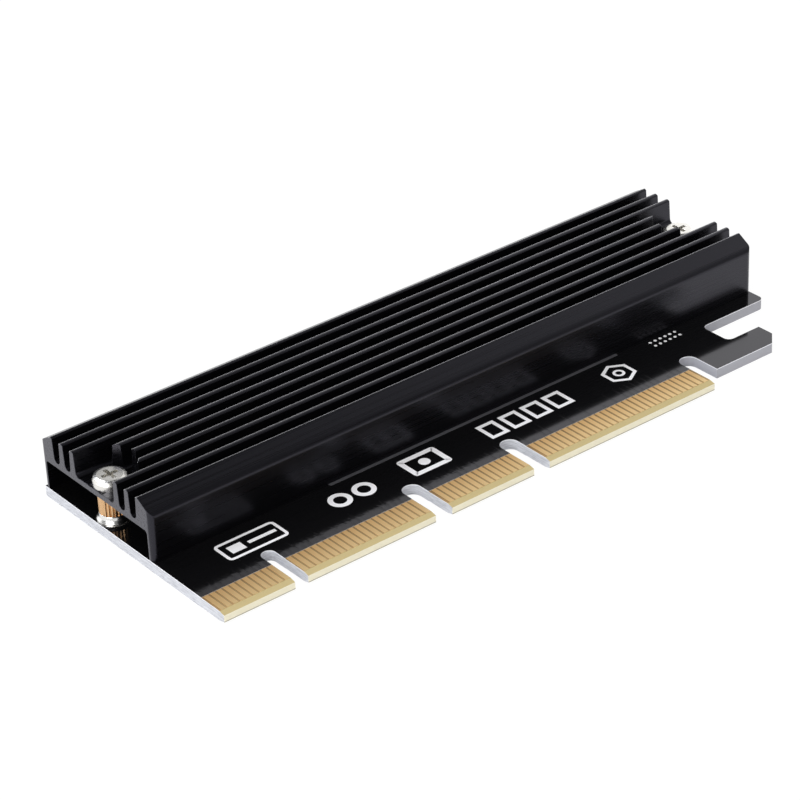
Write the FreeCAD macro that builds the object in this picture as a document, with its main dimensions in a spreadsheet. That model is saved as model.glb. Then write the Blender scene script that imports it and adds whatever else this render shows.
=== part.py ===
import FreeCAD, Part
import os
import Sketcher

# NVMe adapter card: a bare PCI Express card, 16 lanes wide at its edge connector, with an M.2
# socket on its component side and a finned aluminium heatsink that spans the drive bay.
#
# Millimetres, +Z up.  The origin is at the middle of the card's underside, +X runs along the
# card towards its retention hook and +Y from the edge contacts to the back edge.

DIMENSIONS = {
    # circuit board, measured from its front left corner
    "board_length": 106.5,
    "board_depth": 40.75,
    "board_thick": 1.57,
    "notch_floor": 94.0,
    "notch_corner": 1.0,
    "arm_front": 12.6,
    "arm_corner": 0.9,
    "hook_front": 2.4,
    "hook_back": 7.1,
    "hook_end": 100.0,
    "hook_chamfer": 2.0,
    # edge connector: contacts 1 to 11 stand before the key, and the rest after it
    "contact_pitch": 1.0,
    "contact_width": 0.7,
    "contact_front": 0.95,
    "contact_back": 4.85,
    "contact_first": 0.65,
    "key_shift": 2.0,
    "copper_thick": 0.04,
    "bevel_drop": 0.22,
    "key_middle": 12.12,
    "key_width": 2.1,
    "slot_width": 2.8,
    "slot_top": 8.0,
    "second_slot": 35.48,
    "third_slot": 52.45,
    "fourth_slot": 85.77,
    # heatsink: heights are above the board's top face
    "sink_depth": 25.5,
    "sink_rise": 8.75,
    "sink_leg": 1.0,
    "bay_rise": 4.4,
    "bay_fillet": 0.5,
    "wall_rise": 7.2,
    "wall_chamfer": 2.65,
    "wall_round": 1.2,
    "groove_floor": 5.12,
    "groove_count": 8,
    "fin_pitch": 2.54,
    "fin_tip": 0.85,
    "fin_root": 1.15,
    "fin_crown": 0.17,
    "end_round": 0.85,
    "pocket_floor": 5.2,
    "pocket_radius": 3.9,
    "screw_inset": 2.5,
    "screw_clear": 1.4,
    # heatsink screws and the knurled standoffs that take them
    "thread_radius": 1.25,
    "head_radius": 2.4,
    "head_rise": 1.45,
    "head_shoulder": 0.6,
    "shank_length": 4.0,
    "cross_span": 2.5,
    "cross_width": 0.62,
    "cross_depth": 0.85,
    "post_radius": 1.95,
    "post_pilot": 1.5,
    "knurl_start": 1.15,
    "knurl_count": 24,
    "knurl_depth": 0.16,
    "solder_radius": 2.35,
    "solder_lip": 0.18,
    "solder_waist": 0.14,
    # M.2 socket: its mouth faces the stud at the far end of the bay
    "socket_mouth": 91.0,
    "socket_length": 7.4,
    "socket_width": 21.6,
    "socket_rise": 3.2,
    "socket_lead": 0.5,
    "cavity_width": 19.9,
    "cavity_floor": 0.85,
    "cavity_roof": 2.55,
    "seat_length": 5.3,
    "key_offset": 6.125,
    "key_rib": 1.0,
    "pin_pitch": 0.5,
    "pin_width": 0.22,
    "pin_thick": 0.15,
    "pin_foot": 0.75,
    "pin_reach": 3.6,
    "peg_offset": 9.6,
    "peg_radius": 0.7,
    "peg_length": 1.2,
    "tab_width": 2.4,
    "tab_thick": 0.22,
    "tab_rise": 1.9,
    "tab_foot": 0.5,
    # stud for the drive's far end, and the three spare places for shorter drives
    "long_drive": 80.0,
    "mid_drive": 60.0,
    "short_drive": 42.0,
    "mini_drive": 30.0,
    "stud_radius": 2.3,
    "stud_rise": 1.5,
    "stud_pilot": 1.6,
    "stud_thread": 1.0,
    "wafer_radius": 2.0,
    "wafer_rise": 0.8,
    "wafer_break": 0.25,
    "wafer_shank": 2.4,
    "wafer_cross": 1.9,
    "wafer_cross_depth": 0.5,
    # chip capacitors and resistors
    "chip_length": 1.6,
    "chip_width": 0.8,
    "chip_rise": 0.8,
    "bulk_length": 3.2,
    "bulk_width": 1.6,
    "bulk_rise": 1.3,
    "resistor_rise": 0.45,
    "chip_cap": 0.3,
    "chip_proud": 0.03,
    "chip_row": 88.2,
    "chip_spacing": 3.0,
    "bulk_row": 10.5,
}

os.makedirs("parts", exist_ok=True)
doc = FreeCAD.newDocument("NvmeAdapterCard")
sheet = doc.addObject("Spreadsheet::Sheet", "Dims")
for row, (alias, size) in enumerate(DIMENSIONS.items(), start=1):
    sheet.set(f"A{row}", alias)
    sheet.set(f"B{row}", str(size))
    sheet.setAlias(f"B{row}", alias)
doc.recompute()

BOARD_TOP = "Dims.board_thick"
HALF_LENGTH = "Dims.board_length / 2"
# the heatsink's centre line, which the screws, the socket and the studs share
BAY_LINE = "(Dims.board_depth / 2 - Dims.sink_depth / 2)"
SCREW_LINE = "(Dims.board_length / 2 - Dims.screw_inset)"
DRIVE_EDGE = "(Dims.socket_mouth + Dims.seat_length)"
OVERCUT = "0.5"
SLOTS = [
    ("Dims.key_middle", "Dims.key_width"),
    ("Dims.second_slot", "Dims.slot_width"),
    ("Dims.third_slot", "Dims.slot_width"),
    ("Dims.fourth_slot", "Dims.slot_width"),
]
# first contact's number and contact count in each section of the edge connector; the first
# section stands before the key
SECTIONS = [(1, 11), (12, 21), (36, 14), (53, 30)]
KEY_AFTER = 11
# places and counts of socket pins, which leave the key's four places empty, and the place
# number that lies on the socket's centre line
UPPER_PINS = [(0, 29), (33, 5)]
UPPER_CENTRE = 18.5
LOWER_PINS = [(0, 29), (33, 4)]
LOWER_CENTRE = 18
CAPACITOR_COUNT = 6


def value(expression):
    """The number that an expression on the sheet gives."""
    result = sheet.evalExpression(expression)
    return float(getattr(result, "Value", result))


def on_card(x, y="0"):
    """A place measured from the card's front left corner, in the part's frame."""
    return f"{x} - Dims.board_length / 2", f"{y} - Dims.board_depth / 2"


def new_body(name, x="0", y="0", z="0"):
    """An empty body whose file is called name, placed by three expressions."""
    body = doc.addObject("PartDesign::Body", name)
    body.Label = name
    for axis, expression in zip("xyz", (x, y, z)):
        body.setExpression(f"Placement.Base.{axis}", expression)
    return body


def origin_item(body, role):
    """One of the body's own origin planes or axes."""
    return next(item for item in body.Origin.OriginFeatures if item.Role == role)


def new_sketch(body, name, plane="XY_Plane", offset="0"):
    """A sketch on an origin plane of the body, moved along the plane's normal by offset."""
    drawing = body.newObject("Sketcher::SketchObject", f"{body.Name}_{name}")
    drawing.AttachmentSupport = [(origin_item(body, plane), "")]
    drawing.MapMode = "FlatFace"
    drawing.setExpression("AttachmentOffset.Base.z", offset)
    return drawing


def hold(drawing, kind, expression, *where):
    """Add one dimension to the sketch and bind it to an expression."""
    number = drawing.addConstraint(Sketcher.Constraint(kind, *where, value(expression)))
    drawing.setExpression(f"Constraints[{number}]", expression)


def hold_point(drawing, geometry, end, x, y):
    """Hold an end or centre of a piece of geometry at a place from the sketch's origin."""
    hold(drawing, "DistanceX", x, -1, 1, geometry, end)
    hold(drawing, "DistanceY", y, -1, 1, geometry, end)


def draw_outline(drawing, points, arcs=None):
    """A closed anticlockwise outline through points, pairs of expressions.  arcs maps a
    point's number to the radius of the arc that runs from it to the next point; a minus
    sign bends the arc inwards."""
    arcs = arcs or {}
    spots = [FreeCAD.Vector(value(x), value(y)) for x, y in points]
    ends = []
    for number, start in enumerate(spots):
        finish = spots[(number + 1) % len(spots)]
        if number not in arcs:
            ends.append((drawing.addGeometry(Part.LineSegment(start, finish)), 1, 2))
            continue
        # sketch arcs run anticlockwise, so one that bends inwards is drawn from its far end
        outwards = value(arcs[number]) > 0
        first, last = (start, finish) if outwards else (finish, start)
        radius = abs(value(arcs[number]))
        chord = last - first
        rise = radius - (radius ** 2 - chord.Length ** 2 / 4) ** 0.5
        crest = first + chord / 2 + FreeCAD.Vector(chord.y, -chord.x).normalize() * rise
        geometry = drawing.addGeometry(Part.Arc(first, crest, last))
        ends.append((geometry, 1, 2) if outwards else (geometry, 2, 1))
    for index, (geometry, start, finish) in enumerate(ends):
        following, begin, _ = ends[(index + 1) % len(ends)]
        drawing.addConstraint(Sketcher.Constraint("Coincident", geometry, finish, following, begin))
        hold_point(drawing, geometry, start, *points[index])
    for number, radius in arcs.items():
        hold(drawing, "Radius", f"abs({radius})", ends[number][0])


def draw_rectangle(drawing, low, high):
    """A rectangle between two corners, each a pair of expressions."""
    (x0, y0), (x1, y1) = low, high
    draw_outline(drawing, [(x0, y0), (x1, y0), (x1, y1), (x0, y1)])


def draw_circle(drawing, x, y, radius):
    """A circle held by its centre and radius."""
    centre = FreeCAD.Vector(value(x), value(y))
    circle = Part.Circle(centre, FreeCAD.Vector(0, 0, 1), value(radius))
    geometry = drawing.addGeometry(circle)
    hold_point(drawing, geometry, 3, x, y)
    hold(drawing, "Radius", radius, geometry)


def add_feature(body, kind, drawing, length, both_ways=False, backwards=False):
    """A Pad or Pocket of a sketch.  Each has to change the body's volume."""
    before = body.Shape.Volume if body.Tip else 0.0
    feature = body.newObject(f"PartDesign::{kind}", f"{drawing.Name}_{kind.lower()}")
    feature.Profile = drawing
    feature.setExpression("Length", length)
    feature.SideType = "Symmetric" if both_ways else "One side"
    feature.Reversed = backwards
    doc.recompute()
    if abs(body.Shape.Volume - before) < 1e-6:
        raise RuntimeError(f"{feature.Name} changes nothing")
    return feature


def revolve(body, drawing):
    """A full turn of a sketch on the XZ plane about the body's own Z axis."""
    feature = body.newObject("PartDesign::Revolution", f"{drawing.Name}_turn")
    feature.Profile = drawing
    feature.ReferenceAxis = (drawing, ["V_Axis"])
    feature.Angle = 360
    doc.recompute()
    return feature


def row_of(body, originals, drawing, axis, pitch, count):
    """Repeat features along a sketch's H_Axis or V_Axis."""
    pattern = body.newObject("PartDesign::LinearPattern", f"{drawing.Name}_row")
    pattern.Originals = originals
    pattern.Direction = (drawing, [axis])
    pattern.Mode = "Spacing"
    pattern.setExpression("Offset", pitch)
    pattern.setExpression("Occurrences", count)
    body.Tip = pattern
    doc.recompute()
    return pattern


def mirror(body, originals, plane, name):
    """Repeat features on the other side of one of the body's origin planes."""
    mirrored = body.newObject("PartDesign::Mirrored", f"{body.Name}_{name}")
    mirrored.Originals = originals
    mirrored.MirrorPlane = (origin_item(body, plane), [""])
    body.Tip = mirrored
    doc.recompute()
    return mirrored


def round_edges(body, along, places, radius, name):
    """Fillet the straight edges that run along X, Y or Z through the given places, each a
    pair of expressions for the other two coordinates."""
    base = body.Tip
    others = [axis for axis in "xyz" if axis != along]
    spots = [(value(first), value(second)) for first, second in places]
    names = []
    for number, edge in enumerate(base.Shape.Edges, start=1):
        ends = [vertex.Point for vertex in edge.Vertexes]
        if len(ends) < 2 or abs(getattr(ends[0] - ends[1], along)) < 0.1:
            continue
        for spot in spots:
            if all(abs(getattr(end, axis) - at) < 1e-4 for end in ends for axis, at in zip(others, spot)):
                names.append(f"Edge{number}")
    if len(names) < len(spots):
        raise RuntimeError(f"{body.Label}: found {len(names)} of {len(spots)} edges to round")
    fillet = body.newObject("PartDesign::Fillet", f"{body.Name}_{name}")
    fillet.Base = (base, names)
    fillet.setExpression("Radius", radius)
    body.Tip = fillet
    doc.recompute()
    return fillet


def circuit_board():
    """FR-4 board: outline with retention hook, connector slots, bevel and drilled holes."""
    board = new_body("circuit_board")
    outline = new_sketch(board, "outline")
    draw_outline(outline, [
        on_card("0", "0"),
        on_card("Dims.fourth_slot", "0"),
        on_card("Dims.fourth_slot", "Dims.hook_front"),
        on_card("Dims.hook_end - Dims.hook_chamfer", "Dims.hook_front"),
        on_card("Dims.hook_end", "Dims.hook_front + Dims.hook_chamfer"),
        on_card("Dims.hook_end", "Dims.hook_back"),
        on_card("Dims.notch_floor", "Dims.hook_back"),
        on_card("Dims.notch_floor", "Dims.arm_front"),
        on_card("Dims.board_length", "Dims.arm_front"),
        on_card("Dims.board_length", "Dims.board_depth"),
        on_card("0", "Dims.board_depth"),
    ])
    add_feature(board, "Pad", outline, "Dims.board_thick")

    # each slot between the connector's sections is straight sides and a round end
    for number, (middle, width) in enumerate(SLOTS, start=1):
        sides = new_sketch(board, f"slot_sides_{number}")
        draw_rectangle(sides, on_card(f"{middle} - {width} / 2", f"-{OVERCUT}"),
                       on_card(f"{middle} + {width} / 2", f"Dims.slot_top - {width} / 2"))
        add_feature(board, "Pocket", sides, BOARD_TOP, backwards=True)
        end = new_sketch(board, f"slot_end_{number}")
        draw_circle(end, *on_card(middle, f"Dims.slot_top - {width} / 2"), f"{width} / 2")
        add_feature(board, "Pocket", end, BOARD_TOP, backwards=True)

    # bevel and bare laminate window along the contacts, on the top face and the underside
    edge = new_sketch(board, "edge", "YZ_Plane", on_card("Dims.fourth_slot")[0])
    window_back = on_card("0", "(Dims.contact_back + 2 * Dims.copper_thick)")[1]
    bevel_back = on_card("0", "Dims.contact_front")[1]
    front = on_card("0", "0")[1]
    beyond = on_card("0", f"-{OVERCUT}")[1]
    for face, inwards in ((BOARD_TOP, "-1"), ("0", "1")):
        outside = f"{face} - ({inwards}) * {OVERCUT}"
        copper_face = f"{face} + ({inwards}) * Dims.copper_thick"
        bevel_face = f"{copper_face} + ({inwards}) * Dims.bevel_drop"
        draw_outline(edge, [(beyond, outside), (window_back, outside), (window_back, copper_face),
                            (bevel_back, copper_face), (front, bevel_face), (beyond, bevel_face)])
    add_feature(board, "Pocket", edge, "Dims.fourth_slot")

    holes = new_sketch(board, "holes")
    for side in ("-", ""):
        draw_circle(holes, side + SCREW_LINE, BAY_LINE, "Dims.post_pilot")
        draw_circle(holes, on_card("Dims.socket_mouth + Dims.socket_length / 2")[0],
                    f"{BAY_LINE} + {side}Dims.peg_offset", "Dims.peg_radius")
    for drive in ("long_drive", "mid_drive", "short_drive", "mini_drive"):
        draw_circle(holes, on_card(f"{DRIVE_EDGE} - Dims.{drive}")[0], BAY_LINE, "Dims.stud_pilot")
    add_feature(board, "Pocket", holes, BOARD_TOP, backwards=True)

    notch_corners = [on_card("Dims.notch_floor", "Dims.hook_back"),
                     on_card("Dims.notch_floor", "Dims.arm_front")]
    round_edges(board, "z", notch_corners, "Dims.notch_corner", "notch_round")
    arm_end = [on_card("Dims.board_length", "Dims.arm_front")]
    round_edges(board, "z", arm_end, "Dims.arm_corner", "arm_round")


def edge_contacts(name, height):
    """One face's gold contacts, flush with the solder mask, in the connector's four sections."""
    contacts = new_body(name, z=height)
    for first, count in SECTIONS:
        shift = "Dims.key_shift" if first > KEY_AFTER else "0"
        middle = f"Dims.contact_first + {first - 1} * Dims.contact_pitch + {shift}"
        drawing = new_sketch(contacts, f"from_{first}")
        draw_rectangle(drawing, on_card(f"{middle} - Dims.contact_width / 2", "Dims.contact_front"),
                       on_card(f"{middle} + Dims.contact_width / 2", "Dims.contact_back"))
        contact = add_feature(contacts, "Pad", drawing, "Dims.copper_thick")
        row_of(contacts, [contact], drawing, "H_Axis", "Dims.contact_pitch", str(count))


def heatsink():
    """Extruded bridge with nine fins; the middle three are milled back around each screw."""
    sink = new_body("heatsink", y=BAY_LINE, z=BOARD_TOP)
    half = "Dims.sink_depth / 2"
    inner = f"{half} - Dims.sink_leg"
    drop = "(Dims.sink_rise - Dims.wall_rise)"
    slant = f"sqrt(Dims.wall_chamfer ^ 2 + {drop} ^ 2)"
    setback = f"Dims.wall_round * ({slant} - {drop}) / Dims.wall_chamfer"
    right = [(inner, "Dims.bay_rise"), (inner, "0"), (half, "0"),
             (half, f"Dims.wall_rise - {setback}"),
             (f"{half} - {setback} * Dims.wall_chamfer / {slant}",
              f"Dims.wall_rise + {setback} * {drop} / {slant}"),
             (f"{half} - Dims.wall_chamfer", "Dims.sink_rise")]
    left = [(f"-({y})", z) for y, z in reversed(right)]
    profile = new_sketch(sink, "profile", "YZ_Plane")
    draw_outline(profile, right + left, {3: "Dims.wall_round", 7: "Dims.wall_round"})
    add_feature(sink, "Pad", profile, "Dims.board_length", both_ways=True)

    # one groove: drafted sides, a round floor, and half of each neighbouring fin's crowned tip
    first = "-(Dims.groove_count - 1) / 2 * Dims.fin_pitch"
    mouth = "(Dims.fin_pitch - Dims.fin_tip) / 2"
    floor = "(Dims.fin_pitch - Dims.fin_root) / 2"
    floor_line = f"Dims.groove_floor + {floor}"
    crest = "Dims.fin_pitch / 2"
    crown_radius = "((Dims.fin_tip / 2) ^ 2 + Dims.fin_crown ^ 2) / (2 * Dims.fin_crown)"
    flank = [(floor, floor_line), (mouth, "Dims.sink_rise - Dims.fin_crown"),
             (crest, "Dims.sink_rise"), (crest, f"Dims.sink_rise + {OVERCUT}")]
    groove = new_sketch(sink, "groove", "YZ_Plane")
    draw_outline(groove, [(f"{first} + {y}", z) for y, z in flank]
                 + [(f"{first} - ({y})", z) for y, z in reversed(flank)],
                 {1: f"-{crown_radius}", 5: f"-{crown_radius}"})
    sides = add_feature(sink, "Pocket", groove, f"Dims.board_length + {OVERCUT}", both_ways=True)
    groove_floor = new_sketch(sink, "groove_floor", "YZ_Plane")
    draw_circle(groove_floor, first, floor_line, floor)
    bottom = add_feature(sink, "Pocket", groove_floor, f"Dims.board_length + {OVERCUT}", both_ways=True)
    row_of(sink, [sides, bottom], groove, "H_Axis", "Dims.fin_pitch", "Dims.groove_count")

    # slots for the screw heads, open at each end of the extrusion
    recess = new_sketch(sink, "recess", offset="Dims.pocket_floor")
    draw_rectangle(recess, (SCREW_LINE, "-Dims.pocket_radius"),
                   (f"{HALF_LENGTH} + {OVERCUT}", "Dims.pocket_radius"))
    straight = add_feature(sink, "Pocket", recess, "Dims.sink_rise", backwards=True)
    recess_end = new_sketch(sink, "recess_end", offset="Dims.pocket_floor")
    draw_circle(recess_end, SCREW_LINE, "0", "Dims.pocket_radius")
    rounded = add_feature(sink, "Pocket", recess_end, "Dims.sink_rise", backwards=True)
    hole = new_sketch(sink, "screw_hole")
    draw_circle(hole, SCREW_LINE, "0", "Dims.screw_clear")
    drilled = add_feature(sink, "Pocket", hole, "Dims.sink_rise", backwards=True)
    corners = new_sketch(sink, "corners")
    outside_x, outside_y = f"{HALF_LENGTH} + {OVERCUT}", f"{half} + {OVERCUT}"
    start, finish = f"{HALF_LENGTH} - Dims.end_round", f"{half} - Dims.end_round"
    draw_outline(corners, [(start, outside_y), (start, half), (HALF_LENGTH, finish),
                           (outside_x, finish), (outside_x, outside_y)],
                 {1: "-Dims.end_round"})
    draw_outline(corners, [(start, f"-({outside_y})"), (outside_x, f"-({outside_y})"),
                           (outside_x, f"-({finish})"), (HALF_LENGTH, f"-({finish})"),
                           (start, f"-({half})")],
                 {3: "-Dims.end_round"})
    ends = add_feature(sink, "Pocket", corners, "Dims.sink_rise", backwards=True)
    mirror(sink, [straight, rounded, drilled, ends], "YZ_Plane", "far_end")

    round_edges(sink, "x", [(inner, "Dims.bay_rise"), (f"-({inner})", "Dims.bay_rise")],
                "Dims.bay_fillet", "bay_round")


def cut_cross(screw, rise, span, depth):
    """Cross recess in a screw's head: one slot along X and one along Y."""
    half_span, half_width = f"{span} / 2", "Dims.cross_width / 2"
    for way, x, y in (("along", half_span, half_width), ("across", half_width, half_span)):
        slot = new_sketch(screw, f"cross_{way}", offset=rise)
        draw_rectangle(slot, (f"-{x}", f"-{y}"), (x, y))
        add_feature(screw, "Pocket", slot, depth)


def heatsink_screw(side, x):
    """M2.5 screw with a pan head, its shoulder broken twice; its seat is at z = 0 and the
    shank is plain."""
    screw = new_body(f"heatsink_screw_{side}", x, BAY_LINE, f"{BOARD_TOP} + Dims.pocket_floor")
    section = new_sketch(screw, "section", "XZ_Plane")
    middle = "Dims.head_shoulder * (1 - sqrt(0.5))"
    draw_outline(section, [("0", "-Dims.shank_length"), ("Dims.thread_radius", "-Dims.shank_length"),
                           ("Dims.thread_radius", "0"), ("Dims.head_radius", "0"),
                           ("Dims.head_radius", "Dims.head_rise - Dims.head_shoulder"),
                           (f"Dims.head_radius - {middle}", f"Dims.head_rise - {middle}"),
                           ("Dims.head_radius - Dims.head_shoulder", "Dims.head_rise"),
                           ("0", "Dims.head_rise")])
    revolve(screw, section)
    cut_cross(screw, "Dims.head_rise", "Dims.cross_span", "Dims.cross_depth")


def heatsink_fixing(side, sign):
    """Screw, knurled standoff and solder fillet at one end of the heatsink."""
    x = f"{sign}{SCREW_LINE}"
    heatsink_screw(side, x)

    post = new_body(f"heatsink_standoff_{side}", x, BAY_LINE, BOARD_TOP)
    section = new_sketch(post, "section", "XZ_Plane")
    draw_outline(section, [("Dims.thread_radius", f"-{BOARD_TOP}"), ("Dims.post_pilot", f"-{BOARD_TOP}"),
                           ("Dims.post_pilot", "0"), ("Dims.post_radius", "0"),
                           ("Dims.post_radius", "Dims.bay_rise"), ("Dims.thread_radius", "Dims.bay_rise")])
    revolve(post, section)
    notch = new_sketch(post, "knurl", offset="Dims.knurl_start")
    draw_outline(notch, [("Dims.post_radius - Dims.knurl_depth", "0"),
                         ("Dims.post_radius + Dims.knurl_depth", "-2 * Dims.knurl_depth"),
                         ("Dims.post_radius + Dims.knurl_depth", "2 * Dims.knurl_depth")])
    cut = add_feature(post, "Pocket", notch, "Dims.bay_rise", backwards=True)
    knurl = post.newObject("PartDesign::PolarPattern", f"{post.Name}_round")
    knurl.Originals = [cut]
    knurl.Axis = (notch, ["N_Axis"])
    knurl.Angle = 360
    knurl.setExpression("Occurrences", "Dims.knurl_count")
    post.Tip = knurl

    solder = new_body(f"standoff_solder_{side}", x, BAY_LINE, BOARD_TOP)
    section = new_sketch(solder, "section", "XZ_Plane")
    draw_outline(section, [("Dims.post_radius", "0"), ("Dims.solder_radius", "0"),
                           ("Dims.solder_radius", "Dims.solder_lip"),
                           ("Dims.post_radius + Dims.solder_waist", "Dims.knurl_start / 2"),
                           ("Dims.post_radius", "Dims.knurl_start")])
    revolve(solder, section)


def socket_housing():
    """M.2 socket: a moulded block with a cavity right through, a key rib and two stops."""
    housing = new_body("m2_socket_housing", on_card("Dims.socket_mouth")[0], BAY_LINE, BOARD_TOP)
    block = new_sketch(housing, "block", "XZ_Plane")
    draw_outline(block, [("0", "0"), ("Dims.socket_length", "0"),
                         ("Dims.socket_length", "Dims.socket_rise"),
                         ("Dims.socket_lead", "Dims.socket_rise"),
                         ("0", "Dims.socket_rise - Dims.socket_lead")])
    add_feature(housing, "Pad", block, "Dims.socket_width", both_ways=True)
    cavity = new_sketch(housing, "cavity", "YZ_Plane")
    draw_rectangle(cavity, ("-Dims.cavity_width / 2", "Dims.cavity_floor"),
                   ("Dims.cavity_width / 2", "Dims.cavity_roof"))
    add_feature(housing, "Pocket", cavity, "Dims.socket_length", backwards=True)
    rib = new_sketch(housing, "key", "YZ_Plane", offset="Dims.socket_lead")
    draw_rectangle(rib, ("Dims.key_offset - Dims.key_rib / 2", "Dims.cavity_floor"),
                   ("Dims.key_offset + Dims.key_rib / 2", "Dims.cavity_roof"))
    add_feature(housing, "Pad", rib, "Dims.socket_length - Dims.socket_lead")
    stop = new_sketch(housing, "stop", "YZ_Plane", offset="Dims.seat_length")
    draw_rectangle(stop, ("Dims.cavity_width / 2 - Dims.pin_width", "Dims.cavity_floor"),
                   ("Dims.cavity_width / 2", "Dims.cavity_roof"))
    near_stop = add_feature(housing, "Pad", stop, "Dims.socket_length - Dims.seat_length")
    mirror(housing, [near_stop], "XZ_Plane", "far_stop")
    peg = new_sketch(housing, "peg")
    draw_circle(peg, "Dims.socket_length / 2", "Dims.peg_offset", "Dims.peg_radius")
    near_peg = add_feature(housing, "Pad", peg, "Dims.peg_length", backwards=True)
    mirror(housing, [near_peg], "XZ_Plane", "far_peg")


def socket_pins(name, section, rows, middle):
    """A row of stamped spring contacts.  rows gives first place and count of each group, and
    middle is the place number that lies on the socket's centre line."""
    pins = new_body(name, on_card("Dims.socket_mouth")[0], BAY_LINE, BOARD_TOP)
    for first, count in rows:
        # the plane's normal is -Y, so a pin at +Y is behind the plane
        place = f"-({first} - {middle}) * Dims.pin_pitch"
        drawing = new_sketch(pins, f"from_{first}", "XZ_Plane", offset=place)
        draw_outline(drawing, section)
        pin = add_feature(pins, "Pad", drawing, "Dims.pin_width", both_ways=True)
        row = row_of(pins, [pin], drawing, "N_Axis", "Dims.pin_pitch", str(count))
        row.Reversed = True


def socket_anchor(side, sign):
    """Solder tab at one end of the socket: a plate on the housing's end, with a foot."""
    anchor = new_body(f"m2_socket_anchor_{side}", on_card("Dims.socket_mouth")[0], BAY_LINE, BOARD_TOP)
    wall = f"{sign}(Dims.socket_width / 2)"
    drawing = new_sketch(anchor, "bend", "YZ_Plane", offset="(Dims.socket_length - Dims.tab_width) / 2")
    outer = f"{sign}(Dims.socket_width / 2 + Dims.tab_thick)"
    toe = f"{sign}(Dims.socket_width / 2 + Dims.tab_foot)"
    draw_outline(drawing, [(wall, "0"), (toe, "0"), (toe, "Dims.tab_thick"), (outer, "Dims.tab_thick"),
                           (outer, "Dims.tab_rise"), (wall, "Dims.tab_rise")])
    add_feature(anchor, "Pad", drawing, "Dims.tab_width")


def m2_socket():
    """The socket's housing, its two rows of contacts and its solder tabs."""
    socket_housing()
    back = "Dims.socket_length"
    roof = "Dims.cavity_roof"
    floor = "Dims.cavity_floor"
    thick = "Dims.pin_thick"
    foot = "Dims.pin_foot"
    inside = "(Dims.socket_length - Dims.pin_reach)"
    upper = [(inside, f"{roof} - {thick}"), (back, f"{roof} - {thick}"), (back, "0"),
             (f"{back} + {foot}", "0"), (f"{back} + {foot}", thick), (f"{back} + {thick}", thick),
             (f"{back} + {thick}", roof), (inside, roof)]
    lower = [("Dims.pin_reach", floor), ("Dims.pin_reach", f"{floor} + {thick}"),
             (f"-{thick}", f"{floor} + {thick}"), (f"-{thick}", thick), (f"-{foot}", thick),
             (f"-{foot}", "0"), ("0", "0"), ("0", floor)]
    socket_pins("m2_socket_upper_pins", upper, UPPER_PINS, UPPER_CENTRE)
    socket_pins("m2_socket_lower_pins", lower, LOWER_PINS, LOWER_CENTRE)
    socket_anchor("front", "-")
    socket_anchor("back", "")


def drive_stud():
    """Threaded stud for an 80 mm drive, and the wafer-head M2 screw in it."""
    x = on_card(f"{DRIVE_EDGE} - Dims.long_drive")[0]
    stud = new_body("drive_stud", x, BAY_LINE, BOARD_TOP)
    section = new_sketch(stud, "section", "XZ_Plane")
    draw_outline(section, [("Dims.stud_thread", f"-{BOARD_TOP}"), ("Dims.stud_pilot", f"-{BOARD_TOP}"),
                           ("Dims.stud_pilot", "0"), ("Dims.stud_radius", "0"),
                           ("Dims.stud_radius", "Dims.stud_rise"), ("Dims.stud_thread", "Dims.stud_rise")])
    revolve(stud, section)
    screw = new_body("drive_stud_screw", x, BAY_LINE, f"{BOARD_TOP} + Dims.stud_rise")
    section = new_sketch(screw, "section", "XZ_Plane")
    draw_outline(section, [("0", "-Dims.wafer_shank"), ("Dims.stud_thread", "-Dims.wafer_shank"),
                           ("Dims.stud_thread", "0"), ("Dims.wafer_radius", "0"),
                           ("Dims.wafer_radius", "Dims.wafer_rise - Dims.wafer_break"),
                           ("Dims.wafer_radius - Dims.wafer_break", "Dims.wafer_rise"),
                           ("0", "Dims.wafer_rise")])
    revolve(screw, section)
    cut_cross(screw, "Dims.wafer_rise", "Dims.wafer_cross", "Dims.wafer_cross_depth")


def chip(name, x, y, length, width, rise):
    """Surface-mount chip: a ceramic body with a slightly proud metal cap at each end."""
    part = new_body(name, x, y, BOARD_TOP)
    ceramic = new_sketch(part, "ceramic")
    draw_rectangle(ceramic, (f"-{length} / 2", f"-{width} / 2"), (f"{length} / 2", f"{width} / 2"))
    add_feature(part, "Pad", ceramic, rise)
    cap = new_sketch(part, "cap")
    side = f"{width} / 2 + Dims.chip_proud"
    draw_rectangle(cap, (f"{length} / 2 - Dims.chip_cap", f"-({side})"), (f"{length} / 2", side))
    near_cap = add_feature(part, "Pad", cap, f"{rise} + Dims.chip_proud")
    mirror(part, [near_cap], "YZ_Plane", "far_cap")


def chips():
    """Supply capacitors beside the socket and at the stud's end, and one resistor."""
    row_x = on_card("Dims.chip_row")[0]
    for number in range(CAPACITOR_COUNT):
        steps = number - (CAPACITOR_COUNT - 1) / 2
        chip(f"ceramic_capacitor_{number + 1}", row_x, f"{BAY_LINE} + {steps} * Dims.chip_spacing",
             "Dims.chip_length", "Dims.chip_width", "Dims.chip_rise")
    bulk_x = on_card("Dims.bulk_row")[0]
    for number in range(2):
        chip(f"bulk_capacitor_{number + 1}", bulk_x, f"{BAY_LINE} + {number + 2} * Dims.chip_spacing",
             "Dims.bulk_length", "Dims.bulk_width", "Dims.bulk_rise")
    chip("pull_up_resistor", bulk_x, f"{BAY_LINE} + Dims.chip_spacing", "Dims.chip_length",
         "Dims.chip_width", "Dims.resistor_rise")


circuit_board()
edge_contacts("edge_contacts_top", f"{BOARD_TOP} - Dims.copper_thick")
edge_contacts("edge_contacts_bottom", "0")
heatsink()
heatsink_fixing("left", "-")
heatsink_fixing("right", "")
m2_socket()
drive_stud()
chips()
doc.recompute()

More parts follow.
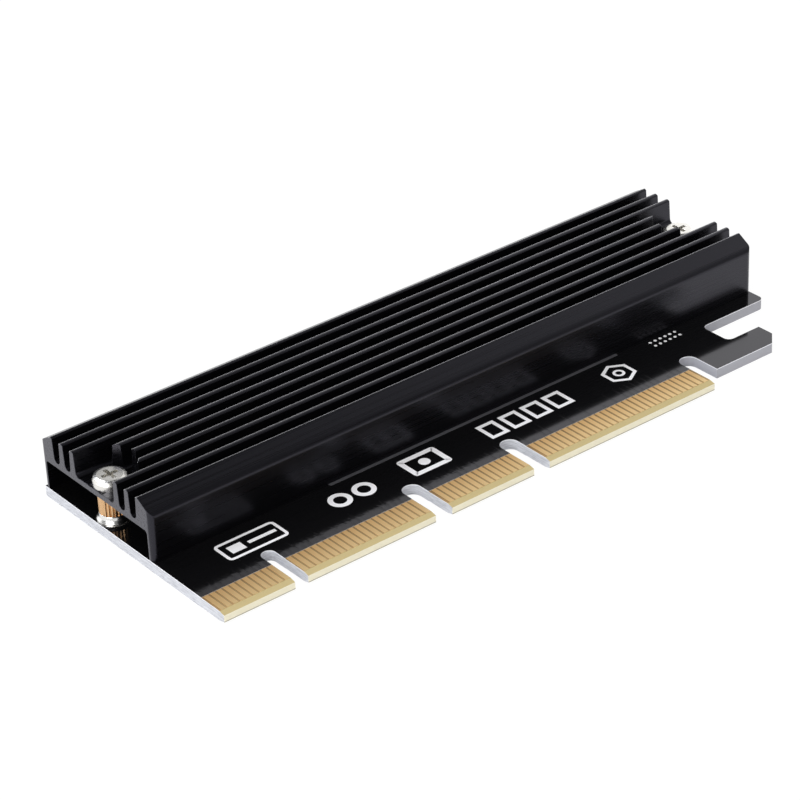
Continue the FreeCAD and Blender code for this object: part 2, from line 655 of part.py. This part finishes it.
for item in doc.Objects:
    if "Invalid" in item.State or "Error" in item.State:
        raise RuntimeError(f"{item.Name} failed: {item.State}")
bodies = [item for item in doc.Objects if item.TypeId == "PartDesign::Body"]
for body in bodies:
    if body.Shape.isNull() or not body.Shape.isValid() or body.Shape.Volume <= 0:
        raise RuntimeError(f"{body.Label} has no valid solid")
for body in bodies:
    body.Shape.exportStep(f"parts/{body.Label}.step")
    print(f"{body.Label}: {len(body.Shape.Solids)} solids, {body.Shape.Volume:.2f} mm3")
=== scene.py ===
import math
import bpy
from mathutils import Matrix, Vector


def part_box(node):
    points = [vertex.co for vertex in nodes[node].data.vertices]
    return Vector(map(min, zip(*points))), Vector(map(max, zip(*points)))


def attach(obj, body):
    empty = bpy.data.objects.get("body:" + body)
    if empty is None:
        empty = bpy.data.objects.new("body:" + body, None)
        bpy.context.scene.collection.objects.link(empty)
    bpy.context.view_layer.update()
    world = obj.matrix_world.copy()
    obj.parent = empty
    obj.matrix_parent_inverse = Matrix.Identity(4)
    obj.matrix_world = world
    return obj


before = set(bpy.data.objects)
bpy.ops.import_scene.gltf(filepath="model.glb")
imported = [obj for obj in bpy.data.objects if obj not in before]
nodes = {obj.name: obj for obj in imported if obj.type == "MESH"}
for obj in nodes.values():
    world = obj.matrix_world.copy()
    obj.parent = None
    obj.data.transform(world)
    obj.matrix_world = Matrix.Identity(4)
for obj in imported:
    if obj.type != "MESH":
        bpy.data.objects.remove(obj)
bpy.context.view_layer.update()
bpy.ops.object.select_all(action="DESELECT")
mm = 0.001
print("frame loaded:", len(nodes), "nodes")


# shared helpers

def linearColor(hexCode):
    channels = [int(hexCode[i:i + 2], 16) / 255 for i in (1, 3, 5)]
    return tuple(c / 12.92 if c <= 0.04045 else ((c + 0.055) / 1.055) ** 2.4 for c in channels) + (1.0,)


def addNode(tree, kind, inputs=None, **settings):
    node = tree.nodes.new(kind)
    for name, value in settings.items():
        setattr(node, name, value)
    for socket, value in (inputs or {}).items():
        if isinstance(value, bpy.types.NodeSocket):
            tree.links.new(value, node.inputs[socket])
        else:
            node.inputs[socket].default_value = value
    return node


def compute(tree, operation, *values):
    return addNode(tree, "ShaderNodeMath", dict(enumerate(values)), operation=operation).outputs[0]


# a number carried from one span to another, and held at the ends of the spans
def carry(tree, value, fromSpan, toSpan=(0.0, 1.0), bends="LINEAR"):
    spans = {"From Min": fromSpan[0], "From Max": fromSpan[1], "To Min": toSpan[0], "To Max": toSpan[1]}
    return addNode(tree, "ShaderNodeMapRange", {"Value": value, **spans}, interpolation_type=bends).outputs[0]


# one colour laid over another; each is a hex code, or the socket that it comes from
def layColor(tree, factor, under, over):
    under, over = [linearColor(color) if isinstance(color, str) else color for color in (under, over)]
    layered = addNode(tree, "ShaderNodeMix", {"Factor": factor, "A": under, "B": over}, data_type="RGBA")
    return layered.outputs["Result"]


def splitVector(tree, vector):
    return addNode(tree, "ShaderNodeSeparateXYZ", {0: vector}).outputs


def stretch(tree, place, sizes):
    scales = [1 / size for size in sizes]
    return addNode(tree, "ShaderNodeMapping", {"Vector": place, "Scale": scales}).outputs["Vector"]


# most of a noise lies within noiseSpan
noiseSpan = (0.3, 0.7)


def addNoise(tree, place, size, detail, roughness=0.5):
    inputs = {"Vector": place, "Scale": 1 / size, "Detail": detail, "Roughness": roughness}
    return addNode(tree, "ShaderNodeTexNoise", inputs).outputs["Fac"]


def addRelief(tree, height, depth, under=None, strength=1.0):
    inputs = {"Height": height, "Distance": depth * mm, "Strength": strength}
    if under is not None:
        inputs["Normal"] = under
    return addNode(tree, "ShaderNodeBump", inputs).outputs[0]


# every finish starts with its plain values, and with the place on the object in millimetres
def startFinish(name, look):
    material = bpy.data.materials.new(name)
    material.use_nodes = True
    tree = material.node_tree
    shader = tree.nodes["Principled BSDF"]
    shader.inputs["Base Color"].default_value = linearColor(look["color"])
    shader.inputs["Roughness"].default_value = look["roughness"]
    shader.inputs["Metallic"].default_value = look.get("metallic", 0.0)
    shader.inputs["Specular Tint"].default_value = linearColor(look.get("tint", "#ffffff"))
    coordinates = addNode(tree, "ShaderNodeTexCoord")
    place = stretch(tree, coordinates.outputs["Object"], (mm, mm, mm))
    return material, tree, shader, place


def wire(tree, shader, sockets):
    for name, value in sockets.items():
        tree.links.new(value, shader.inputs[name])


def dress(material, *names):
    for name in names:
        for slot in nodes[name].material_slots:
            slot.material = material


def boxInMm(name):
    low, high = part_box(name)
    return [c / mm for c in low], [c / mm for c in high]


def nodeCenter(name):
    low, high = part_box(name)
    return [(low[i] + high[i]) / 2 for i in range(3)]


# camera: where the eye stands, in millimetres, and how it is turned, in degrees
camera = {
    "place": (-218.07, -273.59, 207.62),
    "turn": (59.607, 2.350, -38.822),
    "lens": 131.97,
    "sensor": 36.0,
    "clipStart": 0.01,
}

bpy.ops.object.camera_add(location=[c * mm for c in camera["place"]],
                          rotation=[math.radians(a) for a in camera["turn"]])
eye = bpy.context.object
eye.data.lens = camera["lens"]
eye.data.sensor_width = camera["sensor"]
eye.data.clip_start = camera["clipStart"]
bpy.context.scene.camera = eye

# studio: a white floor, a sky with a white wall on the right, and three big soft lamps
studio = {
    "floorSize": 8.0,
    "floorDrop": 0.02,
    "floorColor": "#f4f4f4",
    "floorGlow": 1.04,
    "paperShare": 0.1,
    "wallTowards": (1.0, 0.2, 0.0),
    "wallReach": (0.42, 0.78),
    "wallLevels": (0.075, 1.35),
    "horizonReach": (0.42, 0.15),
    "horizonLevel": 1.6,
    "frontReach": (0.0, -0.4),
    "frontLevel": 0.17,
    "skyDiffuse": 0.5,
    "lamps": [
        {"name": "keyLamp", "place": (-0.65, -0.25, 0.35), "size": 0.5, "power": 3.6,
         "color": "#ffffff", "mirrored": True},
        {"name": "topLamp", "place": (-0.16, 0.48, 0.62), "size": 0.4, "power": 2.5,
         "color": "#f4f7ff", "mirrored": True},
        {"name": "frontLamp", "place": (0.35, -0.45, 0.5), "size": 0.4, "power": 1.0,
         "color": "#fff8ee", "mirrored": False},
    ],
}


# the eye, metal and glass see a glowing floor with a little paper in it, which keeps the shadow
def makeFloor():
    bpy.ops.mesh.primitive_plane_add(size=studio["floorSize"], location=(0, 0, -studio["floorDrop"] * mm))
    floor = bpy.context.object
    floor.name = "studioFloor"
    material = bpy.data.materials.new("paperSweep")
    material.use_nodes = True
    tree = material.node_tree
    tree.nodes.remove(tree.nodes["Principled BSDF"])
    rays = addNode(tree, "ShaderNodeLightPath").outputs
    seen = compute(tree, "MAXIMUM", rays["Is Camera Ray"], rays["Is Glossy Ray"])
    seen = compute(tree, "MAXIMUM", seen, rays["Is Transmission Ray"])
    share = compute(tree, "MULTIPLY", seen, 1 - studio["paperShare"])
    paper = addNode(tree, "ShaderNodeBsdfDiffuse", {"Color": linearColor(studio["floorColor"])})
    glow = addNode(tree, "ShaderNodeEmission", {"Color": (1, 1, 1, 1), "Strength": studio["floorGlow"]})
    mixed = addNode(tree, "ShaderNodeMixShader", {0: share, 1: paper.outputs[0], 2: glow.outputs[0]})
    tree.links.new(mixed.outputs[0], tree.nodes["Material Output"].inputs["Surface"])
    floor.data.materials.append(material)


# white on the right and low at the back, and nearly black overhead and on the left
def makeSky():
    world = bpy.data.worlds.new("studioSky")
    bpy.context.scene.world = world
    world.use_nodes = True
    tree = world.node_tree
    background = tree.nodes["Background"]
    direction = addNode(tree, "ShaderNodeTexCoord").outputs["Generated"]
    towards = splitVector(tree, direction)
    toWall = addNode(tree, "ShaderNodeVectorMath", {0: direction, 1: studio["wallTowards"]},
                     operation="DOT_PRODUCT").outputs["Value"]
    side = carry(tree, toWall, studio["wallReach"], studio["wallLevels"], "SMOOTHSTEP")
    horizon = carry(tree, towards["Z"], studio["horizonReach"], (0.0, studio["horizonLevel"]), "SMOOTHSTEP")
    front = carry(tree, towards["Y"], studio["frontReach"], bends="SMOOTHSTEP")
    low = addNode(tree, "ShaderNodeMix", {"Factor": front, "A": horizon, "B": studio["frontLevel"]})
    rays = addNode(tree, "ShaderNodeLightPath").outputs
    level = compute(tree, "MAXIMUM", side, low.outputs[0])
    level = compute(tree, "MAXIMUM", level, rays["Is Camera Ray"])
    strength = addNode(tree, "ShaderNodeMix", {"Factor": rays["Is Diffuse Ray"], "A": level,
                                               "B": studio["skyDiffuse"]})
    tree.links.new(strength.outputs[0], background.inputs["Strength"])
    background.inputs["Color"].default_value = (1, 1, 1, 1)


# each lamp looks at the card's middle
def makeLamps():
    for lamp in studio["lamps"]:
        x, y, z = lamp["place"]
        bpy.ops.object.light_add(type="AREA", location=(x, y, z))
        light = bpy.context.object
        light.name = lamp["name"]
        light.data.size = lamp["size"]
        light.data.energy = lamp["power"]
        light.data.color = linearColor(lamp["color"])[:3]
        light.visible_glossy = lamp["mirrored"]
        light.rotation_euler = (math.atan2(math.hypot(x, y), z), 0, math.atan2(y, x) + math.pi / 2)


makeFloor()
makeSky()
makeLamps()
print("studio ready")


# heatsink: extruded aluminium, black anodised; satin, with faint die lines along the extrusion
sinkLook = {
    "color": "#040405",
    "tint": "#ebe9ff",
    "roughness": 0.29,
    "roughnessSpread": 0.05,
    # painted light: a paler grey painted on the end faces
    "endLightColor": "#3c3c40",
    "endBandDepth": 0.02,
    # painted highlight colour for the fins' upper back edges
    "edgeHighlightColor": "#dcdcd8",
    "edgeRadius": 0.13,
    "edgeBend": (0.9995, 0.995),
    "edgeFacing": (0.05, 0.18),
    "tipHeight": 0.22,
    "lineSize": (60.0, 0.35, 0.35),
    "lineDepth": 0.0012,
    "grainSize": 0.12,
    "grainDepth": 0.0006,
}


def anodisedAluminium():
    look = sinkLook
    corner = boxInMm("heatsink")[1]
    material, tree, shader, place = startFinish("blackAnodisedAluminium", look)
    at = splitVector(tree, place)
    dieLines = addNoise(tree, stretch(tree, place, look["lineSize"]), 1.0, 3.0)
    grain = addNoise(tree, place, look["grainSize"], 2.0)
    glossSpan = [look["roughness"] + way * look["roughnessSpread"] for way in (-1, 1)]
    gloss = carry(tree, dieLines, noiseSpan, glossSpan)

    # painted light: both end faces are painted a paler grey, standing in for the light that the ends catch
    # from the left
    along = compute(tree, "ABSOLUTE", at["X"])
    litEnds = compute(tree, "GREATER_THAN", along, corner[0] - look["endBandDepth"])
    color = layColor(tree, litEnds, look["color"], look["endLightColor"])

    # painted highlight: a thin bright line, with metal gloss, along the upper back edge of each fin, standing
    # in for the glint of light on the rounded edge
    edges = addNode(tree, "ShaderNodeBevel", {"Radius": look["edgeRadius"] * mm}, samples=6).outputs[0]
    surface = addNode(tree, "ShaderNodeNewGeometry")
    bend = addNode(tree, "ShaderNodeVectorMath", {0: edges, 1: surface.outputs["True Normal"]},
                   operation="DOT_PRODUCT").outputs["Value"]
    rim = carry(tree, bend, look["edgeBend"])
    back = carry(tree, splitVector(tree, edges)["Y"], look["edgeFacing"])
    tip = compute(tree, "GREATER_THAN", at["Z"], corner[2] - look["tipHeight"])
    paintedEdgeHighlight = compute(tree, "MULTIPLY", compute(tree, "MULTIPLY", rim, back), tip)
    color = layColor(tree, paintedEdgeHighlight, color, look["edgeHighlightColor"])

    ridges = addRelief(tree, dieLines, look["lineDepth"], edges)
    skin = addRelief(tree, grain, look["grainDepth"], ridges)
    wire(tree, shader, {"Base Color": color, "Metallic": paintedEdgeHighlight, "Roughness": gloss, "Normal": skin})
    return material


dress(anodisedAluminium(), "heatsink")
print("heatsink done")


# circuit board: glass-epoxy laminate under a glossy black solder mask; its cut edges show the
# pale glass layers, and the connector's bevel shows the honey-coloured resin
boardLook = {
    "color": "#0b0b0c",
    "tint": "#f4f1ff",
    "roughness": 0.08,
    "ior": 1.5,
    "bareRoughness": 0.6,
    "gapColor": "#7d6238",
    "gapFront": "#a8895a",
    "bevelColor": "#bfae7c",
    "contactBack": 4.93,
    "contactFront": 0.95,
    "hookGap": 0.5,
    "levelLimit": 0.7,
}

cutLook = {
    "glassColor": "#cfd1d6",
    "glassShade": "#b0b2b8",
    "hookColor": "#a6a7ae",
    # painted highlight colour for the top of the cut edge
    "topHighlightColor": "#e9eaee",
    "topDepth": 0.13,
    "frontColor": "#ebe5cc",
    "frontDepth": 0.05,
    "planeColor": "#8e8c80",
    "planeBand": (0.36, 0.05),
    "plySize": (1.2, 1.2, 0.13),
    "weaveRoughness": 0.6,
    "weaveSpan": (0.36, 0.6),
    "fiberDepth": 0.03,
}

landLook = {
    "color": "#c4c2bc",
    "roughness": 0.3,
    "radius": 2.5,
    "studShifts": (0, 20, 38, 50),
}

# a band is its middle and its half width
traceLook = {
    "width": 0.16,
    "shoulder": 0.6,
    "depth": 0.008,
    "strength": 0.6,
    "firstContact": 0.35,
    "reach": 7.5,
    "chance": (0.35, 1.0),
    "laneGap": 0.7,
    "laneBand": (-4.0, 4.3),
    "laneSpan": (8.0, 30.0),
    "waveSize": (0.4, 1.0, 1.0),
    "waveDepth": 0.01,
    "waveReach": (-12.0, 0.0),
    "waveLevels": (1.0, 0.12),
}


# glass plies along the cut edge, yarn ends across them, one copper plane along the front, and a painted
# highlight along the top of the edge
def cutEdgeColor(tree, at, weave, front, top, hookStart):
    look = cutLook
    tone = carry(tree, weave, look["weaveSpan"])
    sides = layColor(tree, tone, look["glassShade"], look["glassColor"])
    hookEdge = compute(tree, "GREATER_THAN", at["X"], hookStart)
    sides = layColor(tree, hookEdge, sides, look["hookColor"])
    # painted highlight: the top band of the cut edge is lighter, standing in for light caught on its rounded
    # top
    topHighlight = compute(tree, "GREATER_THAN", at["Z"], top - look["topDepth"])
    sides = layColor(tree, topHighlight, sides, look["topHighlightColor"])
    plane = compute(tree, "COMPARE", at["Z"], *look["planeBand"])
    fore = layColor(tree, plane, look["frontColor"], look["planeColor"])
    frontEdge = compute(tree, "LESS_THAN", at["Y"], front + look["frontDepth"])
    return layColor(tree, frontEdge, sides, fore)


# plated holes have a land: the standoffs, the stud and the three spare stud places
def landMask(tree, place):
    stud = nodeCenter("drive_stud")
    holes = [nodeCenter("heatsink_standoff_left"), nodeCenter("heatsink_standoff_right")]
    holes += [(stud[0] + shift * mm, stud[1], 0) for shift in landLook["studShifts"]]
    level = addNode(tree, "ShaderNodeVectorMath", {0: place, 1: (1, 1, 0)}, operation="MULTIPLY")
    distances = []
    for hole in holes:
        middle = (hole[0] / mm, hole[1] / mm, 0)
        away = addNode(tree, "ShaderNodeVectorMath", {0: level.outputs[0], 1: middle}, operation="DISTANCE")
        distances.append(away.outputs["Value"])
    nearest = distances[0]
    for distance in distances[1:]:
        nearest = compute(tree, "MINIMUM", nearest, distance)
    return compute(tree, "LESS_THAN", nearest, landLook["radius"])


# copper under the mask: short traces behind the contacts, lanes along the underside
def copperHeight(tree, at, firstLine, back, middle, besideHook):
    look = traceLook
    slope = (look["width"], look["width"] * look["shoulder"])
    fromFirst = compute(tree, "SUBTRACT", at["X"], firstLine)
    number = compute(tree, "ROUND", fromFirst)
    beside = compute(tree, "ABSOLUTE", compute(tree, "SUBTRACT", fromFirst, number))
    chance = addNode(tree, "ShaderNodeTexWhiteNoise", {"W": number}, noise_dimensions="1D").outputs["Value"]
    end = carry(tree, chance, look["chance"], (back, back + look["reach"]))
    trace = carry(tree, beside, slope, bends="SMOOTHSTEP")
    for limit in (compute(tree, "LESS_THAN", at["Y"], end), besideHook):
        trace = compute(tree, "MULTIPLY", trace, limit)
    lane = carry(tree, compute(tree, "PINGPONG", at["Y"], look["laneGap"]), slope, bends="SMOOTHSTEP")
    laneLimits = [
        compute(tree, "LESS_THAN", at["Z"], middle),
        compute(tree, "COMPARE", at["Y"], *look["laneBand"]),
        compute(tree, "COMPARE", at["X"], *look["laneSpan"]),
    ]
    for limit in laneLimits:
        lane = compute(tree, "MULTIPLY", lane, limit)
    return compute(tree, "MAXIMUM", trace, lane)


def solderMaskedBoard():
    look = boardLook
    low, high = boxInMm("circuit_board")
    contactLow, contactHigh = boxInMm("edge_contacts_top")
    front = low[1]
    back = front + look["contactBack"]
    bevelBack = front + look["contactFront"]
    hookStart = contactHigh[0] + look["hookGap"]
    material, tree, shader, place = startFinish("solderMaskOnGlassEpoxy", look)
    shader.inputs["IOR"].default_value = look["ior"]
    at = splitVector(tree, place)
    normal = addNode(tree, "ShaderNodeNewGeometry").outputs["True Normal"]
    level = compute(tree, "GREATER_THAN", compute(tree, "ABSOLUTE", splitVector(tree, normal)["Z"]),
                    look["levelLimit"])
    cut = compute(tree, "SUBTRACT", 1.0, level)
    weave = addNoise(tree, stretch(tree, place, cutLook["plySize"]), 1.0, 4.0, cutLook["weaveRoughness"])
    cutColor = cutEdgeColor(tree, at, weave, front, high[2], hookStart)
    land = landMask(tree, place)

    # bare laminate between the contacts, paler towards the front, and the bevel ahead of them
    besideHook = compute(tree, "LESS_THAN", at["X"], hookStart)
    window = compute(tree, "MULTIPLY", compute(tree, "LESS_THAN", at["Y"], back), besideHook)
    bevel = compute(tree, "LESS_THAN", at["Y"], bevelBack)
    forward = carry(tree, at["Y"], (back, bevelBack))
    gapColor = layColor(tree, forward, look["gapColor"], look["gapFront"])

    # colour and gloss, one region over another
    color = layColor(tree, window, look["color"], gapColor)
    color = layColor(tree, bevel, color, look["bevelColor"])
    color = layColor(tree, cut, color, cutColor)
    color = layColor(tree, land, color, landLook["color"])
    bare = compute(tree, "MAXIMUM", window, cut)
    gloss = carry(tree, bare, (0.0, 1.0), (look["roughness"], look["bareRoughness"]))
    blend = addNode(tree, "ShaderNodeMix", {"Factor": land, "A": gloss, "B": landLook["roughness"]})

    # the mask lies unevenly over the traces on the left, and flat on the right
    firstLine = contactLow[0] + traceLook["firstContact"]
    copper = copperHeight(tree, at, firstLine, back, (low[2] + high[2]) / 2, besideHook)
    relief = addRelief(tree, copper, traceLook["depth"], strength=traceLook["strength"])
    waves = addNoise(tree, stretch(tree, place, traceLook["waveSize"]), 1.0, 1.0)
    uneven = carry(tree, at["X"], traceLook["waveReach"], traceLook["waveLevels"], "SMOOTHSTEP")
    skin = addRelief(tree, compute(tree, "MULTIPLY", waves, uneven), traceLook["waveDepth"], relief)
    fibers = addRelief(tree, weave, cutLook["fiberDepth"], skin, cut)
    wire(tree, shader, {"Base Color": color, "Metallic": land, "Roughness": blend.outputs[0],
                        "Normal": fibers})
    return material


dress(solderMaskedBoard(), "circuit_board")
print("board done")


# edge contacts and socket contacts: hard gold on nickel, wiped along their length, warmer at the back
goldLook = {
    "color": "#f8d89c",
    "paleColor": "#f8dca8",
    "backColor": "#eec488",
    "length": 4.0,
    "roughness": 0.4,
    "roughnessSpread": (-0.05, 0.08),
    "metallic": 1.0,
    "wipeSize": (0.06, 3.0, 0.06),
    "wipeDepth": 0.0006,
    "patchSize": 9.0,
}


def hardGold():
    look = goldLook
    material, tree, shader, place = startFinish("hardGoldPlate", look)
    wipes = addNoise(tree, stretch(tree, place, look["wipeSize"]), 1.0, 2.0)
    patches = addNoise(tree, place, look["patchSize"], 2.0)
    color = layColor(tree, patches, look["color"], look["paleColor"])
    front = boxInMm("edge_contacts_top")[0][1]
    toBack = carry(tree, splitVector(tree, place)["Y"], (front, front + look["length"]))
    color = layColor(tree, toBack, color, look["backColor"])
    gloss = carry(tree, wipes, noiseSpan, [look["roughness"] + spread for spread in look["roughnessSpread"]])
    scratches = addRelief(tree, wipes, look["wipeDepth"])
    wire(tree, shader, {"Base Color": color, "Roughness": gloss, "Normal": scratches})
    return material


dress(hardGold(), "edge_contacts_top", "edge_contacts_bottom", "m2_socket_upper_pins", "m2_socket_lower_pins")
print("contacts done")


# small metal parts share one skin: slightly uneven, with their sharp edges broken
metalSkin = {"edgeRadius": 0.08, "glossSpread": (0.8, 1.3)}

metalLooks = {
    "brightNickelPlate": {
        "color": "#e9e7e2", "roughness": 0.28, "metallic": 1.0, "skinSize": 0.25, "skinDepth": 0.0015,
        "nodes": ["heatsink_screw_left", "heatsink_screw_right", "drive_stud_screw"]},
    "turnedBrass": {
        "color": "#dbb386", "roughness": 0.26, "metallic": 1.0, "skinSize": 0.15, "skinDepth": 0.002,
        "nodes": ["heatsink_standoff_left", "heatsink_standoff_right", "drive_stud"]},
    "brightSolder": {
        "color": "#e6e6e4", "roughness": 0.2, "metallic": 1.0, "skinSize": 0.6, "skinDepth": 0.02,
        "nodes": ["standoff_solder_left", "standoff_solder_right"]},
    "matteTinPlate": {
        "color": "#b9bbbd", "roughness": 0.38, "metallic": 1.0, "skinSize": 0.2, "skinDepth": 0.003,
        "nodes": ["m2_socket_anchor_front", "m2_socket_anchor_back"]},
}


def smallMetal(name, look):
    material, tree, shader, place = startFinish(name, look)
    skin = addNoise(tree, place, look["skinSize"], 3.0)
    gloss = carry(tree, skin, noiseSpan, [look["roughness"] * spread for spread in metalSkin["glossSpread"]])
    edges = addNode(tree, "ShaderNodeBevel", {"Radius": metalSkin["edgeRadius"] * mm}, samples=4).outputs[0]
    wire(tree, shader, {"Roughness": gloss, "Normal": addRelief(tree, skin, look["skinDepth"], edges)})
    return material


for metalName, metalLook in metalLooks.items():
    dress(smallMetal(metalName, metalLook), *metalLook["nodes"])
print("screws and standoffs done")


# socket housing: glass-filled nylon, moulded, with a fine dull grain
nylonLook = {"color": "#121213", "roughness": 0.55, "grainSize": 0.18, "grainDepth": 0.004}


def mouldedNylon():
    look = nylonLook
    material, tree, shader, place = startFinish("mouldedNylon", look)
    grain = addNoise(tree, place, look["grainSize"], 4.0)
    wire(tree, shader, {"Normal": addRelief(tree, grain, look["grainDepth"])})
    return material


dress(mouldedNylon(), "m2_socket_housing")


# chips: fired ceramic with a dull tin cap at each end; the caps are found from the chip's own length
chipSkin = {"capLength": 0.3, "specksPerMm": 12.0, "speckDepth": 0.004}

chipLooks = {
    "capacitorRow": {
        "color": "#9c7a58", "roughness": 0.42, "nodes": [f"ceramic_capacitor_{n}" for n in range(1, 7)]},
    "bulkCapacitors": {
        "color": "#8f6e4e", "roughness": 0.42, "nodes": ["bulk_capacitor_1", "bulk_capacitor_2"]},
    "resistor": {
        "color": "#151515", "roughness": 0.3, "nodes": ["pull_up_resistor"]},
}


def firedCeramic(name, look):
    low, high = boxInMm(look["nodes"][0])
    middle = (low[0] + high[0]) / 2
    capStart = (high[0] - low[0]) / 2 - chipSkin["capLength"]
    material, tree, shader, place = startFinish(name, look)
    along = compute(tree, "SUBTRACT", splitVector(tree, place)["X"], middle)
    cap = compute(tree, "GREATER_THAN", compute(tree, "ABSOLUTE", along), capStart)
    color = layColor(tree, cap, look["color"], metalLooks["matteTinPlate"]["color"])
    speckle = addNoise(tree, place, 1 / chipSkin["specksPerMm"], 2.0)
    skin = addRelief(tree, speckle, chipSkin["speckDepth"])
    wire(tree, shader, {"Base Color": color, "Metallic": cap, "Normal": skin})
    return material


for chipName, chipLook in chipLooks.items():
    dress(firedCeramic(chipName, chipLook), *chipLook["nodes"])
print("socket and chips done")


# printed marks: plain white shapes in raised ink on the mask, in millimetres from the card's front
# left corner
inkLook = {
    "color": "#fafafc",
    "shade": "#efeff4",
    "roughness": 0.55,
    "thick": 0.02,
    "grainSize": 0.1,
    "grainDepth": 0.004,
}
boardLow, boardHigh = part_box("circuit_board")


def printedInk():
    material, tree, shader, place = startFinish("epoxyInk", inkLook)
    grain = addNoise(tree, place, inkLook["grainSize"], 3.0)
    tone = layColor(tree, grain, inkLook["shade"], inkLook["color"])
    wire(tree, shader, {"Base Color": tone, "Normal": addRelief(tree, grain, inkLook["grainDepth"])})
    return material


# a flat shape with any number of corners; with a line width only its outline is kept
def flatShape(x, y, width, depth, corners=4, turn=45.0, line=None, rounding=0.0):
    spot = (boardLow[0] + x * mm, boardLow[1] + y * mm, boardHigh[2])
    across = 2 * math.cos(math.pi / 4) if corners == 4 else 2.0
    bpy.ops.mesh.primitive_circle_add(vertices=corners, radius=1.0, fill_type="NGON", location=spot,
                                      rotation=(0, 0, math.radians(turn)))
    shape = bpy.context.object
    bpy.ops.object.transform_apply(location=False, rotation=True, scale=False)
    shape.scale = (width * mm / across, depth * mm / across, 1)
    bpy.ops.object.transform_apply(location=True, rotation=True, scale=True)
    bpy.ops.object.mode_set(mode="EDIT")
    if rounding:
        bpy.ops.mesh.select_all(action="SELECT")
        bpy.ops.mesh.bevel(offset=rounding * mm, segments=4, affect="VERTICES")
    if line:
        bpy.ops.mesh.select_mode(type="FACE")
        bpy.ops.mesh.select_all(action="SELECT")
        bpy.ops.mesh.inset(thickness=line * mm, depth=0)
        bpy.ops.mesh.delete(type="FACE")
    bpy.ops.object.mode_set(mode="OBJECT")
    return shape


def joinMarks(name, shapes, material, thick):
    bpy.ops.object.select_all(action="DESELECT")
    for shape in shapes:
        shape.select_set(True)
    bpy.context.view_layer.objects.active = shapes[0]
    if len(shapes) > 1:
        bpy.ops.object.join()
    mark = bpy.context.object
    mark.name = name
    bpy.ops.object.modifier_add(type="SOLIDIFY")
    mark.modifiers["Solidify"].thickness = thick * mm
    mark.modifiers["Solidify"].offset = 1.0
    bpy.ops.object.modifier_apply(modifier="Solidify")
    bpy.context.scene.cursor.location = (0, 0, 0)
    bpy.ops.object.origin_set(type="ORIGIN_CURSOR")
    mark.data.materials.clear()
    mark.data.materials.append(material)
    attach(mark, "root")
    return mark


epoxyInk = printedInk()


def printMark(name, shapes):
    joinMarks(name, shapes, epoxyInk, inkLook["thick"])


labelField = {
    "x": 12.4, "y": 11.1, "width": 9.6, "depth": 4.2, "line": 0.45, "rounding": 0.7,
    "blocks": [{"shift": -2.4, "width": 2.2, "depth": 1.7}, {"shift": 1.7, "width": 4.4, "depth": 0.6}],
}
fieldShapes = [flatShape(labelField["x"], labelField["y"], labelField["width"], labelField["depth"],
                         line=labelField["line"], rounding=labelField["rounding"])]
for block in labelField["blocks"]:
    fieldShapes.append(flatShape(labelField["x"] + block["shift"], labelField["y"],
                                 block["width"], block["depth"]))
printMark("print_label_field", fieldShapes)

targetRings = {"places": (26.9, 30.9), "y": 11.1, "size": 3.4, "corners": 40, "line": 0.75}
printMark("print_target_rings", [
    flatShape(x, targetRings["y"], targetRings["size"], targetRings["size"],
              corners=targetRings["corners"], line=targetRings["line"])
    for x in targetRings["places"]])

cornerBlock = {"x": 41.2, "y": 11.1, "width": 6.4, "depth": 4.6, "line": 0.8, "rounding": 0.5,
               "dotSize": 1.7, "dotCorners": 24}
printMark("print_corner_block", [
    flatShape(cornerBlock["x"], cornerBlock["y"], cornerBlock["width"], cornerBlock["depth"],
              line=cornerBlock["line"], rounding=cornerBlock["rounding"]),
    flatShape(cornerBlock["x"], cornerBlock["y"], cornerBlock["dotSize"], cornerBlock["dotSize"],
              corners=cornerBlock["dotCorners"])])

squareRow = {"first": 53.3, "gap": 3.95, "count": 4, "y": 11.2, "width": 3.1, "depth": 3.875, "line": 0.6}
printMark("print_square_row", [
    flatShape(squareRow["first"] + n * squareRow["gap"], squareRow["y"], squareRow["width"],
              squareRow["depth"], line=squareRow["line"])
    for n in range(squareRow["count"])])

nutMark = {"x": 76.3, "y": 10.9, "size": 5.2, "line": 0.5,
           "holeSize": 1.8, "holeCorners": 24, "holeLine": 0.4}
printMark("print_nut_mark", [
    flatShape(nutMark["x"], nutMark["y"], nutMark["size"], nutMark["size"], corners=6, turn=0,
              line=nutMark["line"]),
    flatShape(nutMark["x"], nutMark["y"], nutMark["holeSize"], nutMark["holeSize"],
              corners=nutMark["holeCorners"], line=nutMark["holeLine"])])

dotRows = {"first": 85.4, "gap": 0.95, "count": 6, "rows": (13.1, 14.2), "size": 0.5, "corners": 12}
printMark("print_dot_rows", [
    flatShape(dotRows["first"] + n * dotRows["gap"], y, dotRows["size"], dotRows["size"],
              corners=dotRows["corners"])
    for n in range(dotRows["count"])
    for y in dotRows["rows"]])
print("printed marks done")

# tinned strip along the foot of the heatsink's front wall, where the mask leaves the copper bare
earthStrip = {"x": 53.9, "y": 15.08, "width": 51.6, "depth": 0.74, "rounding": 0.3, "thick": 0.03}
stripLook = {"color": "#55555a", "roughness": 0.55, "metallic": 0.35, "skinSize": 0.3, "skinDepth": 0.004}
stripShape = flatShape(earthStrip["x"], earthStrip["y"], earthStrip["width"], earthStrip["depth"],
                       rounding=earthStrip["rounding"])
joinMarks("earth_strip", [stripShape], smallMetal("dullTinPlate", stripLook), earthStrip["thick"])
print("earth strip done")

bpy.context.scene.view_settings.view_transform = "Standard"
